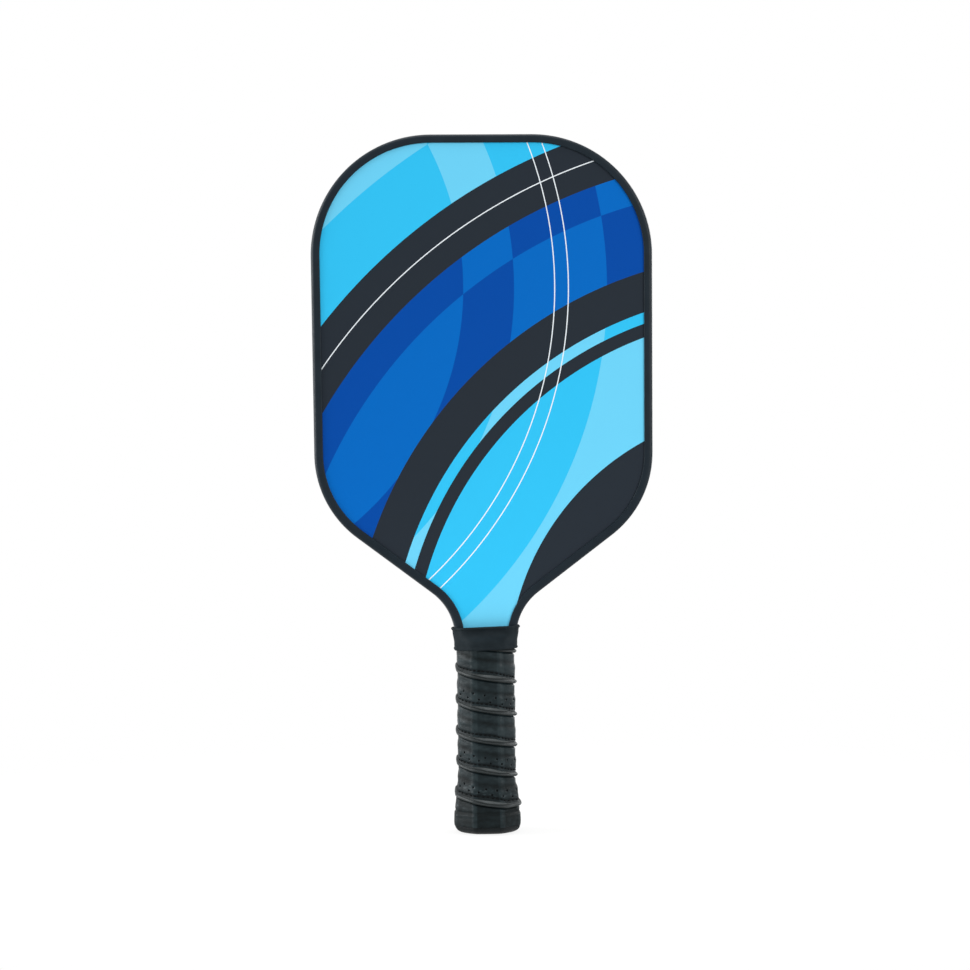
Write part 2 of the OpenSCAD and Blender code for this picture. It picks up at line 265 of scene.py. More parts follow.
# Rolled edges of the collar, and its lip that closes on the neck
ROLL_TURN = (-100, 60)
ROLL_STEPS = 9
ROLL_Z = 0.95
ROLL_H = 0.85
LOWER_ROLL_IN = 0.5
LOWER_ROLL_W = 0.75
UPPER_ROLL_IN = 0.4
UPPER_ROLL_W = 1.2
NECK_PLAY = 0.1
NECK_BEVEL = 1.4
NECK_ROUND = 0.3
NECK_STEP = (-1.2, -0.2)
NECK_LIP = (0.3, 0.65, 1)
NECK_LIP_Z = 0.15
NECK_LIP_SAG = 0.5
NECK_LIP_DEPTH = 1.6

# Print on the face: bands by distance from a wave's centre, and by distance from a crossing wave's centre
WAVE_CENTRE = (165, 92)
CROSS_CENTRE = (-190, 318)
CROSS_BANDS = ((178, 208), (262, 300))
PRINT_START = 100
PRINT_END = 420
LINE_W = 0.6
FINE_LINES = ((CROSS_CENTRE, 232), (CROSS_CENTRE, 240), (WAVE_CENTRE, 314))

# Leather: stretch and size of its tones and creases, its pores, and its roughness from the darkest to the
# lightest of its painted tone
TONE_STRETCH = (1, 1, 2.4)
TONE_SIZE = 5
TONE_SHARE = 0.5
TONE_STOPS = (0.05, 0.55, 1)
CREASE_STRETCH = (1, 1, 4)
CREASE_SIZE = 4
CREASE_DETAIL = 5
CREASE_DEPTH = 0.06
PORE_SIZE = 0.7
PORE_DEPTH = 0.04
WEAR_RANGE = (0.1, 0.9)
LEATHER_ROUGH = (0.62, 0.34)

# Noise textures: their usual range, and the detail of coarse and fine ones
NOISE_RANGE = (0.3, 0.7)
COARSE_DETAIL = 3
FINE_DETAIL = 6

# Plain materials: a shader's usual gloss, and how much finer their spots of roughness are than of tone
USUAL_GLOSS = 0.5
ROUGH_FINER = 3

# Floor and sky
FLOOR_R = 600
FLOOR_SIDES = 96
FLOOR_FADE = (120, 500)
FLOOR_GLOW = 0.85
SKY_LIGHT = 0.5

# Camera, from the photograph
IMAGE_PX = 970
MM_PER_PX = 0.58335
CAMERA_D = 1400
CAMERA_YAW = -2.5
CAMERA_ROLL = 0.59
AIM = (0.6, 0, 202)
SENSOR = 36


# Shapes in numbers

def direction(angle):
    """Unit vectors at angles in degrees."""
    radians = np.radians(angle)
    return np.stack([np.cos(radians), np.sin(radians)], axis=-1)


def ease(low, high, x):
    """Rises smoothly from 0 at low to 1 at high."""
    share = np.clip((np.asarray(x, float) - low) / (high - low), 0, 1)
    return share * share * (3 - 2 * share)


def fall(low, high, x):
    """Falls smoothly from 1 at low to 0 at high."""
    return 1 - ease(low, high, x)


def ridge(x, height, centre, width):
    """A soft ridge."""
    return height * np.exp(-((np.asarray(x, float) - centre) / width) ** 2)


def wander(points, size):
    """Smooth noise at points, with its own size along each axis."""
    scaled = np.asarray(points, float).reshape(-1, 3) / size
    values = [noise.noise(Vector(p)) for p in scaled]
    return np.array(values).reshape(np.shape(points)[:-1])


def layered(points, layers):
    """Layers of smooth noise at points, added up."""
    return sum(height * wander(points + shift, size) for height, shift, size in layers)


def stray(turn, rate, *line):
    """Smooth noise along the winding, at a rate and on a line of its own."""
    return noise.noise(Vector((turn * rate, *line)))


def octagon(w, t, bevel):
    """Corners of an octagon of half sizes w and t. Flat i, from corner i to the next, faces 45 i degrees."""
    return np.array([
        (w, bevel - t), (w, t - bevel), (w - bevel, t), (bevel - w, t),
        (-w, t - bevel), (-w, bevel - t), (bevel - w, -t), (w - bevel, -t),
    ])


def handle_octagon(grow, inset):
    """The handle's octagon moved out by grow and in by inset. Its slanting flats widen over the flare."""
    out = grow - inset
    bevel = HANDLE_BEVEL + out * (2 - math.sqrt(2)) + FLARE_BEVEL * max(grow, 0)
    return octagon(HANDLE_W / 2 + out, HANDLE_T / 2 + out, bevel)


def flare(z):
    """How far the grip's seat stands out over the butt cap at height z."""
    near = np.add.outer(np.asarray(z, float), np.linspace(-FLARE_EASE, FLARE_EASE, FLARE_SAMPLES))
    return np.interp(near, FLARE_Z, FLARE_GROW).mean(axis=-1)


def round_columns():
    """Places round the handle, clockwise, as rows of corner, next corner, share between them and angle."""
    places = []
    for step in range(FLATS):
        corner = (FIRST_FLAT - step) % FLATS
        flat = (corner - 1) % FLATS
        for j in range(CORNER_STEPS):
            places.append((corner, corner, 0, FLAT_TURN * (corner - j / CORNER_STEPS)))
        for j in range(FLAT_STEPS):
            places.append((flat, corner, 1 - j / FLAT_STEPS, FLAT_TURN * flat))
    return np.array(places)


# Columns round the handle. ON_FLAT is 0 at a corner and 1 at the middle of a flat
COLUMNS = round_columns()
CORNER_A = COLUMNS[:, 0].astype(int)
CORNER_B = COLUMNS[:, 1].astype(int)
SHARE = COLUMNS[:, 2:3]
OUTWARD = direction(COLUMNS[:, 3])
ALONG = np.array([OUTWARD[:, 1], -OUTWARD[:, 0]]).T
ON_FLAT = 4 * COLUMNS[:, 2] * (1 - COLUMNS[:, 2])
CROWN = CROWN_H * ON_FLAT


def around(corners, radius):
    """The ring of columns round a polygon, at a distance from it."""
    base = corners[CORNER_A] * (1 - SHARE) + corners[CORNER_B] * SHARE
    return base + OUTWARD * np.reshape(radius, (-1, 1))


def on_handle(grow, radius):
    """The ring of columns at a distance from the handle's octagon grown by grow, soft and slightly full."""
    soft = SOFT_CORNER - FLARE_SHARPEN * max(grow, 0)
    return around(handle_octagon(grow, soft), soft + CROWN + np.asarray(radius, float))


def travelled():
    """Distance of each column along the tape from the first, and the length of a whole turn."""
    ring = on_handle(0, TAPE_R)
    steps = np.linalg.norm(np.roll(ring, -1, axis=0) - ring, axis=1)
    return np.concatenate([[0], np.cumsum(steps)[:-1]]), steps.sum()


TRAVEL, TURN_L = travelled()
TURN = TRAVEL / TURN_L


def turn_z(turn):
    """Height of the tape's lower edge after a number of turns."""
    sway = DRIFT_SWAY * (1 - np.cos(math.tau * (turn - SWAY_SHARE)))
    return TAPE_START_Z + TAPE_PITCH * (turn - 1) + np.interp(turn, DRIFT_TURN, DRIFT) + sway


def turn_at(z, column_turn):
    """The turn of the tape that shows at height z, by column. It gives way to the next under the piping."""
    level = z - LAP_Z
    turn = np.floor((level - TAPE_START_Z) / TAPE_PITCH + 1 - column_turn) + column_turn
    return turn - (level < turn_z(turn)) + (level >= turn_z(turn + 1))


def on_wide_flat(turn):
    """1 at the middle of the handle's front and back, 0 at the middle of its sides."""
    return (0.5 + 0.5 * np.cos(2 * math.tau * (turn - FRONT_SHARE))) ** 2


def ribbed(turn):
    """1 on the turns that have piping along their lower edge, 0 before it starts."""
    return ease(PIPING_TURN - RIB_EASE, PIPING_TURN, turn)


def stitch_w(turn):
    """Height of the row of stitches above the tape's lower edge."""
    return STITCH_W + STITCH_GIVE * on_wide_flat(turn)


# Meshes

def solid(name, verts, faces, materials, tags=None):
    """A smooth mesh object from points. tags gives each face's material index."""
    mesh = bpy.data.meshes.new(name)
    mesh.from_pydata((np.asarray(verts) * MM).tolist(), [], faces)
    for material in materials:
        mesh.materials.append(material)
    if tags is not None:
        mesh.polygons.foreach_set("material_index", tags)
    form = bmesh.new()
    form.from_mesh(mesh)
    bmesh.ops.recalc_face_normals(form, faces=form.faces)
    form.to_mesh(mesh)
    form.free()
    mesh.shade_smooth()
    made = bpy.data.objects.new(name, mesh)
    bpy.context.scene.collection.objects.link(made)
    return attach(made, "root")


def skin(rows, columns, loop):
    """Quads over a grid that closes along its columns, and along its rows too if loop is set."""
    faces = []
    for r in range(rows if loop else rows - 1):
        below = r * columns
        above = (r + 1) % rows * columns
        for c in range(columns):
            n = (c + 1) % columns
            faces.append((below + c, below + n, above + n, above + c))
    return faces


def capped_skin(rows, columns):
    """Quads over a grid that closes along its columns, with its two end faces."""
    last = (rows - 1) * columns
    ends = [tuple(range(columns))[::-1], tuple(range(last, last + columns))]
    return skin(rows, columns, False) + ends


def ring_at(points, z):
    """A ring of flat points raised to a height, which may differ round the ring."""
    height = np.broadcast_to(np.reshape(z, (-1, 1)), (len(points), 1))
    return np.hstack([points, height])


def mark_wear(made, wear):
    """Gives each point of a piece how light its leather is drawn, for the material: random tone with painted
    shade and painted highlights.
    """
    made.data.attributes.new("wear", "FLOAT", "POINT").data.foreach_set("value", np.concatenate(wear))


# Edge guard

def head_stations():
    """Points and outward directions along the head's outline, from one end of the guard to the other."""
    top = np.array([HEAD_HALF - TOP_R, TOTAL_L - TOP_R])
    throat = np.array([NECK_W / 2 + THROAT_R, NECK_Z])
    side_out, slant_out = direction(-SIDE_LEAN), direction(-SLANT)
    side_reach = top @ side_out + TOP_R - SHOULDER_R
    slant_reach = throat @ slant_out - THROAT_R - SHOULDER_R
    shoulder = np.linalg.solve(np.array([side_out, slant_out]), [side_reach, slant_reach])
    first = 180 - math.degrees(math.asin((GUARD_END - NECK_Z) / THROAT_R))
    throat_turn = direction(np.linspace(first, 180 - SLANT, THROAT_STEPS))
    shoulder_turn = direction(np.linspace(-SLANT, -SIDE_LEAN, SHOULDER_STEPS))
    top_turn = direction(np.linspace(-SIDE_LEAN, 90, TOP_STEPS))
    points = np.vstack([
        throat + THROAT_R * throat_turn,
        shoulder + SHOULDER_R * shoulder_turn,
        top + TOP_R * top_turn,
    ])
    outward = np.vstack([-throat_turn, shoulder_turn, top_turn])
    mirror = np.array([-1, 1])
    points = np.vstack([points, points[::-1] * mirror])
    return points, np.vstack([outward, outward[::-1] * mirror])


def guard_section():
    """The guard's closed section as depth in from the outline and place across the edge."""
    straight = GUARD_HALF - LIP_RISE - GUARD_ROUND
    across = np.linspace(0, straight, GUARD_CROWN_STEPS)
    half = [(GUARD_CROWN * (y / straight) ** 2, y) for y in across]
    turn = direction(np.linspace(180, 90, GUARD_ROUND_STEPS))[1:]
    half += [(GUARD_CROWN + GUARD_ROUND + GUARD_ROUND * c, straight + GUARD_ROUND * s) for c, s in turn]
    tip_y = GUARD_HALF - LIP_ROUND
    tip = direction(np.linspace(90, 0, LIP_ROUND_STEPS))
    half += [(LIP_W - LIP_ROUND + LIP_ROUND * c, tip_y + LIP_ROUND * s) for c, s in tip]
    under = FACE_HALF + LIP_GAP
    half += [(LIP_W - LIP_ROUND / 2, under), (GUARD_WEB, under)]
    return np.array([(n, -y) for n, y in half[:0:-1]] + half)


def edge_guard(material):
    """The moulded guard round the head, swept along the outline."""
    points, outward = head_stations()
    section = guard_section()
    verts = []
    for point, out in zip(points, outward):
        inner = point - np.outer(section[:, 0], out)
        verts.append(np.column_stack([inner[:, 0], section[:, 1], inner[:, 1]]))
    faces = capped_skin(len(points), len(section))
    made = solid("guard_moulding", np.vstack(verts), faces, [material])
    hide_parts("edge_guard")


# Grip

def tape_relief(turn, z):
    """Height of the tape's surface over its plain form, at a height z on a turn."""
    above = z - turn_z(turn)
    below = turn_z(turn + 1) - z
    overlap = OVERLAP_H * fall(*OVERLAP_EDGE, above) + ridge(above, *OVERLAP_RIDGE)
    groove = ridge(above, GROOVE_DEPTH, stitch_w(turn), GROOVE_W)
    seam = SEAM_DEPTH * fall(*SEAM_EDGE, below)
    fold = BUTT_FOLD_H * fall(*BUTT_FOLD_EDGE, z) + ridge(z, *BUTT_RIDGE) - ridge(z, *BUTT_GROOVE)
    draw_low, draw_high = TAPE_LOW[2] + np.array(DRAW_EDGE)
    draw = CAP_DRAW * fall(draw_low, draw_high, z)
    wound = ribbed(turn) * (overlap - groove) - ribbed(turn + 1) * seam
    return wound + (1 - ribbed(turn)) * fold - draw


def tape_wear(turn, z):
    """How light the leather is drawn: painted shade at the overlap's step, in the stitch groove, under the
    next turn, towards the butt and over the butt with its crease, and painted highlights on the overlap's
    bulge and just under the next turn.
    """
    above = z - turn_z(turn)
    below = turn_z(turn + 1) - z
    # Painted shade in the stitch groove
    groove = ridge(above, GROOVE_SHADE, stitch_w(turn), GROOVE_SHADE_W)
    # Painted highlights on the overlap's bulge and just under the next turn
    rubbed = ridge(above, *OVERLAP_RUB) + ridge(below, *EDGE_RUB)
    wound = rubbed - ridge(above, *OVERLAP_SHADE) - groove
    # Painted shade under the next turn's piping, and painted shade growing towards the butt
    shade = ridge(below, *SEAM_SHADE) + LOW_SHADE * fall(*LOW_SHADE_EDGE, z)
    # Painted shade over the butt, deepest in its crease
    butt = BUTT_SHADE + ridge(z, *BUTT_CREASE)
    return TAPE_WEAR + ribbed(turn) * wound - shade - (1 - ribbed(turn)) * butt


def corner_wear(z):
    """How much lighter the painted highlight makes the corners of the front and back at a height, most of
    all near the butt.
    """
    return CORNER_RUB * (1 + fall(*CORNER_RUB_EDGE, z)) * fall(0, CORNER_SHARE, ON_FLAT) * abs(OUTWARD[:, 1])


def scuff_wear(turn, z, points):
    """How much lighter the scuffs and painted glints of creased leather are, on the perforated band of the
    lowest wound turn.
    """
    band = ridge(z - turn_z(turn), *SCUFF_BAND) * ease(*SCUFF_START, z) * fall(*SCUFF_END, z)
    return band * np.maximum(layered(points, SCUFFS) - SCUFF_LEAST, 0)


def hole_places():
    """Distance along the tape and height of each perforation."""
    places = []
    count = round(TURN_L / HOLE_STEP)
    for turn in HOLE_TURNS:
        for row, w in enumerate(HOLE_ROWS):
            for j in range(count):
                turned = turn + (j + row / len(HOLE_ROWS)) / count
                along, up = [stray(turned, HOLE_STRAY, row, line) for line in HOLE_LINES]
                if turned > PIPING_TURN:
                    places.append((turned % 1 * TURN_L + along, turn_z(turned) + w + up))
    return places


def pierce(heights):
    """How far each tape vertex moves along, up and in, so that a perforation is a round cup in the grid."""
    shape = (len(heights), len(TRAVEL))
    along, up, sink = np.zeros(shape), np.zeros(shape), np.zeros(shape)
    reach = range(1 - len(HOLE_R), len(HOLE_R))
    for place, z in hole_places():
        row = int(np.argmin(abs(heights - z)))
        column = int(np.argmin(abs(TRAVEL - place % TURN_L)))
        for i in reach:
            for j in reach:
                ring = max(abs(i), abs(j))
                at = (row + i, (column + j) % len(TRAVEL))
                aside = (TRAVEL[at[1]] - TRAVEL[column] + TURN_L / 2) % TURN_L - TURN_L / 2
                angle = math.atan2(i, j)
                along[at] = HOLE_R[ring] * math.cos(angle) - aside
                up[at] = HOLE_R[ring] * math.sin(angle) - (heights[at[0]] - heights[row])
                sink[at] = HOLE_DEPTH[ring]
    return along, up, sink


def tape_heights():
    """Heights of the tape's rows of vertices."""
    low, high = TAPE_LOW[2], TAPE_HIGH[2]
    return np.linspace(low, high, round((high - low) / ROW_STEP) + 1)


def tape_surface(z):
    """Distance of the tape's surface from the handle's flared octagon at height z, by column."""
    return TAPE_R + tape_relief(turn_at(z, TURN), z)


def grip_tape(leather, hole):
    """The wound, cushioned tape, with its overlaps, creases and perforations."""
    heights = tape_heights()
    move_along, move_up, sink = pierce(heights)
    rings = []
    wear = []
    for row, z in enumerate(heights):
        grow = float(flare(z))
        plain = ring_at(on_handle(grow, TAPE_R), z)
        radius = tape_surface(z) + layered(plain, CREASES) - sink[row]
        ring = on_handle(grow, radius) + ALONG * move_along[row][:, None]
        rings.append(ring_at(ring, z + move_up[row]))
        turn = turn_at(z, TURN)
        # How light each point is drawn: random blotches, scuffs with painted glints, painted shade and
        # highlights along the turns, and painted highlights on the corners
        spots = layered(plain, BLOTCHES) + scuff_wear(turn, z, plain)
        wear.append(tape_wear(turn, z) + corner_wear(z) + spots)
    inner = (heights[-1], *INNER_Z, heights[0])
    for z in inner:
        rings.append(ring_at(on_handle(float(flare(z)), TAPE_PLAY), z))
        wear.append(np.zeros(len(COLUMNS)))
    faces = skin(len(rings), len(COLUMNS), True)
    sunk = np.vstack([sink, np.zeros((len(inner), len(COLUMNS)))]).ravel()
    tags = [int(max(sunk[list(face)]) > 0) for face in faces]
    made = solid("wound_grip", np.vstack(rings), faces, [leather, hole], tags)
    mark_wear(made, wear)
    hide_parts("grip_tape")


def arch(share):
    """A full arch of height 1 over shares from 0 to 1."""
    return np.sin(np.pi * np.clip(share, 0, 1)) ** PIPING_FULL


def piping_section(turned):
    """The piping's section on a turn, as heights above the tape's lower edge and above its surface."""
    wide = on_wide_flat(turned)
    twist, swell, sway = [stray(turned, *line) for line in (TWIST_NOISE, SWELL_NOISE, SWAY_NOISE)]
    cord_w = (CORD_W - CORD_GIVE * wide) * (1 + CORD_VARY * twist)
    fold_w = FOLD_W * (FOLD_LEAST_W + wide) * (1 + FOLD_VARY * swell)
    cord_h = CORD_H * (1 - CORD_PRESS * wide) * (1 + CORD_VARY * swell)
    fold_h = FOLD_H * (FOLD_LEAST_H + (1 - FOLD_LEAST_H) * wide) * (1 - CORD_VARY * twist)
    across = np.linspace(0, cord_w + fold_w, PIPING_STEPS)
    cord = cord_h * arch(across / (cord_w + PIPING_LAP))
    fold = fold_h * arch((across - cord_w + PIPING_LAP) / (fold_w + PIPING_LAP))
    outer = np.column_stack([across + EDGE_VARY * sway, np.maximum(cord, fold)])
    base = [(share * across[-1], -PIPING_SINK) for share in PIPING_BASE]
    return np.vstack([outer, base]).T


def grip_piping(material):
    """The raised rib that follows the tape's lower edge up the grip, and runs under the collar."""
    rings = []
    wear = []
    top_turn = (COLLAR_LOW[2] + PIPING_TUCK - TAPE_START_Z) / TAPE_PITCH + 1
    press_low, press_high = COLLAR_LOW[2] + np.array(PRESS_EDGE)
    for turn in range(1, LAST_TURN + 1):
        for column, part in enumerate(TURN):
            turned = turn + part
            if not PIPING_TURN <= turned <= top_turn:
                continue
            across, height = piping_section(turned)
            z = turn_z(turned) + across
            taper = ease(0, PIPING_TAPER, turned - PIPING_TURN + PIPING_TIP)
            pressed = 1 - PIPING_PRESS * ease(press_low, press_high, z)
            height = np.where(height > 0, height * taper * pressed, height)
            ring = []
            for level, rise in zip(z, height):
                place = on_handle(float(flare(level)), TAPE_R + PIPING_SEAT + rise)[column]
                ring.append((*place, level))
            rings.append(np.array(ring))
            # Painted highlights on the crests and the fold's upper part, painted shade in the valleys and on
            # the cord
            upward = np.clip(across / across.max(), 0, 1)
            on_cord = CORD_WEAR + CORD_RUB * np.maximum(height, 0) / CORD_H
            wear.append(on_cord + on_wide_flat(turned) * (FOLD_RUB * upward - FOLD_SHADE))
    faces = capped_skin(len(rings), len(rings[0]))
    made = solid("grip_rib", np.vstack(rings), faces, [material])
    mark_wear(made, wear)
    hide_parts("grip_piping")


def capsule(centre, axis, out, length):
    """Points of a rounded stitch that lies along an axis, ring by ring."""
    side = np.cross(axis, out)
    points = []
    for narrow, shift in direction(np.linspace(-90, 90, STITCH_RINGS)):
        width = STITCH_R * max(narrow, STITCH_TIP) ** STITCH_BLUNT
        for c, s in direction(np.arange(STITCH_SIDES) * 360 / STITCH_SIDES):
            points.append(centre + axis * (length / 2 * shift) + width * (out * c + side * s))
    return points


def grip_stitches(material):
    """The sewn row above the piping."""
    verts = []
    faces = []
    grid = capped_skin(STITCH_RINGS, STITCH_SIDES)
    turned = PIPING_TURN + FIRST_STITCH
    while turn_z(turned) + stitch_w(turned) < COLLAR_LOW[2] - LAST_STITCH:
        column = int(np.argmin(abs(TURN - turned % 1)))
        z = turn_z(turned) + stitch_w(turned) + STITCH_VARY * stray(turned, *STITCH_RISE_NOISE)
        place = on_handle(float(flare(z)), tape_surface(z) + STITCH_LIFT)[column]
        axis = np.array([*(ALONG[column] * TURN_L), TAPE_PITCH])
        out = np.array([*OUTWARD[column], 0])
        length = STITCH_L * (1 + STITCH_VARY * stray(turned, *STITCH_LENGTH_NOISE))
        first = len(verts)
        verts += capsule(np.array([*place, z]), axis / np.linalg.norm(axis), out, length)
        faces += [tuple(first + i for i in face) for face in grid]
        turned += STITCH_STEP / TURN_L
    made = solid("grip_stitching", verts, faces, [material])


# Butt cap

def butt_cap(material):
    """The cap under the handle: a rounded lip below the tape, a hollow foot and a sleeve under the tape."""
    lip = CAP_GROW - CAP_DRAW
    seat_z = TAPE_LOW[2] - TAPE_SEAT
    foot = [(lip - CAP_ROUND - inward, z) for inward, z in FOOT_EDGE]
    turn = direction(np.linspace(-90, 0, CAP_ROUND_STEPS))
    profile = [(CAP_CENTRE, foot[0][1])] + foot
    profile += [(lip - CAP_ROUND + CAP_ROUND * c, CAP_LIP + CAP_LIP * s) for c, s in turn]
    profile.append((lip, seat_z))
    profile += [(float(flare(z)), z) for z in (seat_z, *SLEEVE_Z, CAP_HIGH[2])]
    profile += [(SLEEVE_IN, CAP_HIGH[2]), (SLEEVE_IN, CAP_FLOOR), (CAP_CENTRE, CAP_FLOOR)]
    rings = [ring_at(on_handle(grow - TAPE_R, TAPE_R), z) for grow, z in profile]
    faces = capped_skin(len(rings), len(COLUMNS))
    made = solid("rounded_butt_cap", np.vstack(rings), faces, [material])
    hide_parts("butt_cap")


# Collar

def neck_half():
    """Half width of the guard where it leaves the collar."""
    return NECK_W / 2 + THROAT_R - math.sqrt(THROAT_R ** 2 - (COLLAR_HIGH[2] - NECK_Z) ** 2)


def collar_level(z):
    """How far the collar's form at height z has gone from the grip's octagon to the flat neck."""
    return float(ease(COLLAR_LOW[2] + COLLAR_BAND - COLLAR_EASE, COLLAR_HEAD_Z + COLLAR_EASE, z))


def collar_corners(level):
    """The collar's inner polygon at a level, less its soft corners."""
    head_w = neck_half() + COLLAR_HEAD_PLAY - COLLAR_SOFT
    head = octagon(head_w, COLLAR_HEAD_T / 2 - COLLAR_SOFT, COLLAR_CORNER)
    return handle_octagon(0, COLLAR_SOFT - COLLAR_IN) * (1 - level) + head * level


def neck_ring():
    """The outline that the collar's upper lip closes on: the guard at the sides, the face between."""
    out = NECK_PLAY - NECK_ROUND
    ring = around(octagon(neck_half() + out, GUARD_HALF + out, NECK_BEVEL), NECK_ROUND)
    step_low, step_high = neck_half() - LIP_W + np.array(NECK_STEP)
    on_face = fall(step_low, step_high, abs(ring[:, 0]))
    ring[:, 1] -= np.sign(ring[:, 1]) * (GUARD_HALF - FACE_HALF) * on_face
    return ring


def collar_profile():
    """Heights and distances from the inner polygon, up the inside of the collar and up its outside."""
    low, high = COLLAR_LOW[2], COLLAR_HIGH[2]
    top, bottom, lip = COLLAR_INSIDE
    profile = [(high - top, 0), ((low + high) / 2, 0), (low + bottom, 0), (low + lip, COLLAR_INSIDE_LIP)]
    roll = direction(np.linspace(*ROLL_TURN, ROLL_STEPS))
    for c, s in roll:
        profile.append((low + ROLL_Z + ROLL_H * s, COLLAR_BAND_WALL - LOWER_ROLL_IN + LOWER_ROLL_W * c))
    for z in np.linspace(low + COLLAR_WALL_END, high - COLLAR_WALL_END, COLLAR_WALL_STEPS):
        level = collar_level(z)
        profile.append((z, COLLAR_BAND_WALL * (1 - level) + COLLAR_HEAD_WALL * level))
    for c, s in roll[::-1]:
        profile.append((high - ROLL_Z - ROLL_H * s, COLLAR_HEAD_WALL - UPPER_ROLL_IN + UPPER_ROLL_W * c))
    return profile


def collar(material):
    """The stretched sleeve over the grip's upper end, with rolled edges and a lip closed on the neck."""
    rings = []
    for z, out in collar_profile():
        corners = collar_corners(collar_level(z))
        plain = ring_at(around(corners, out + COLLAR_SOFT), z)
        waves = layered(plain, COLLAR_WAVES) * min(out, 1)
        rings.append(ring_at(around(corners, out + COLLAR_SOFT + waves), z))
    high = COLLAR_HIGH[2]
    head, neck = rings[-1][:, :2], neck_ring()
    for part in NECK_LIP:
        drop = NECK_LIP_Z + NECK_LIP_SAG * part ** 2
        rings.append(ring_at(head * (1 - part) + neck * part, high - drop))
    rings.append(ring_at(neck, high - NECK_LIP_DEPTH))
    tilt = math.tan(math.radians(COLLAR_TILT))
    for ring in rings:
        ring[:, 2] += tilt * ring[:, 0]
    faces = skin(len(rings), len(COLUMNS), True)
    made = solid("neck_sleeve", np.vstack(rings), faces, [material])
    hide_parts("collar")


# Shader nodes

def srgb(red, green, blue):
    """Shader colour of a screen colour given from 0 to 255."""
    share = np.array([red, green, blue]) / 255
    linear = np.where(share <= 0.04045, share / 12.92, ((share + 0.055) / 1.055) ** 2.4)
    return (*linear.tolist(), 1)


def add(tree, kind, inputs=(), **settings):
    """A new node. inputs maps a socket's name or place to a value or to the socket that feeds it."""
    made = tree.nodes.new("ShaderNode" + kind)
    for name, value in settings.items():
        setattr(made, name, value)
    for key, value in dict(inputs).items():
        if isinstance(value, bpy.types.NodeSocket):
            tree.links.new(value, made.inputs[key])
        else:
            made.inputs[key].default_value = value
    return made


def start_material(name, gloss, metal=0):
    """A new material with its node tree, its shader and the object's own coordinates."""
    material = bpy.data.materials.new(name)
    material.use_nodes = True
    tree = material.node_tree
    shader = tree.nodes["Principled BSDF"]
    shader.inputs["Specular IOR Level"].default_value = gloss
    shader.inputs["Metallic"].default_value = metal
    return material, tree, shader, add(tree, "TexCoord").outputs["Object"]


def stretched(tree, place, factors):
    """Coordinates scaled along each axis."""
    return add(tree, "VectorMath", {0: place, 1: factors}, operation="MULTIPLY").outputs[0]


def grain(tree, place, size, detail=COARSE_DETAIL):
    """Noise with features of about a size."""
    inputs = {"Vector": place, "Scale": 1 / (size * MM), "Detail": detail}
    return add(tree, "TexNoise", inputs).outputs[0]


def ramp(tree, share, stops, interpolation="LINEAR"):
    """Colour by a share from 0 to 1. stops are positions with their colours."""
    made = add(tree, "ValToRGB", {0: share})
    band = made.color_ramp
    band.interpolation = interpolation
    band.elements.remove(band.elements[1])
    band.elements[0].position, band.elements[0].color = stops[0]
    for position, colour in stops[1:]:
        band.elements.new(position).color = colour
    return made.outputs[0]


def ranged(tree, value, start, end=(0, 1)):
    """A value taken from one range to another."""
    return add(tree, "MapRange", {0: value, 1: start[0], 2: start[1], 3: end[0], 4: end[1]}).outputs[0]


def bump(tree, height, depth, normal=None):
    """A normal from a height, with the depth between low and high."""
    inputs = {"Height": height, "Strength": 1, "Distance": depth * MM}
    if normal is not None:
        inputs["Normal"] = normal
    return add(tree, "Bump", inputs).outputs[0]


def wire(tree, shader, **sockets):
    """Links outputs to the shader's sockets."""
    for name, value in sockets.items():
        tree.links.new(value, shader.inputs[name.replace("_", " ")])


# Materials

def mottled(name, tones, size, rough, pore, depth, gloss=USUAL_GLOSS, metal=0):
    """A material of two close tones, with mottling of a size and fine pores of a size and depth."""
    material, tree, shader, place = start_material(name, gloss, metal)
    wire(
        tree, shader,
        Base_Color=ramp(tree, grain(tree, place, size), list(zip(NOISE_RANGE, tones))),
        Roughness=ranged(tree, grain(tree, place, size / ROUGH_FINER), NOISE_RANGE, rough),
        Normal=bump(tree, grain(tree, place, pore, FINE_DETAIL), depth),
    )
    return material


def guard_plastic():
    """Satin black plastic of the edge guard."""
    tones = (srgb(16, 27, 35), srgb(22, 33, 41))
    return mottled("guard_plastic", tones, size=9, rough=(0.36, 0.46), pore=0.35, depth=0.012, gloss=0.15)


def stitch_thread():
    """Dull black thread."""
    tones = (srgb(6, 8, 9), srgb(13, 15, 16))
    return mottled("stitch_thread", tones, size=0.6, rough=(0.7, 0.9), pore=0.15, depth=0.03, gloss=0.1)


def perforation_dark():
    """The shade inside a perforation."""
    tones = (srgb(4, 5, 6), srgb(8, 9, 10))
    return mottled("perforation_dark", tones, size=0.5, rough=(0.8, 0.95), pore=0.2, depth=0.02, gloss=0.1)


def collar_rubber():
    """Dull black rubber of the collar."""
    tones = (srgb(24, 31, 35), srgb(31, 38, 42))
    return mottled("collar_rubber", tones, size=6, rough=(0.66, 0.8), pore=0.3, depth=0.015, gloss=0.06)


def cap_rubber():
    """Black rubber of the butt cap."""
    tones = (srgb(11, 16, 18), srgb(18, 23, 25))
    return mottled("cap_rubber", tones, size=5, rough=(0.46, 0.58), pore=0.3, depth=0.015, gloss=0.13)


def core_plastic():
    """Pale plastic of the honeycomb."""
    tones = (srgb(206, 208, 205), srgb(224, 226, 223))
    return mottled("core_plastic", tones, size=4, rough=(0.4, 0.5), pore=0.4, depth=0.01)


def adhesive_film():
    """Amber film between the core and a face sheet."""
    tones = (srgb(214, 196, 150), srgb(226, 210, 170))
    return mottled("adhesive_film", tones, size=5, rough=(0.3, 0.5), pore=0.6, depth=0.01)


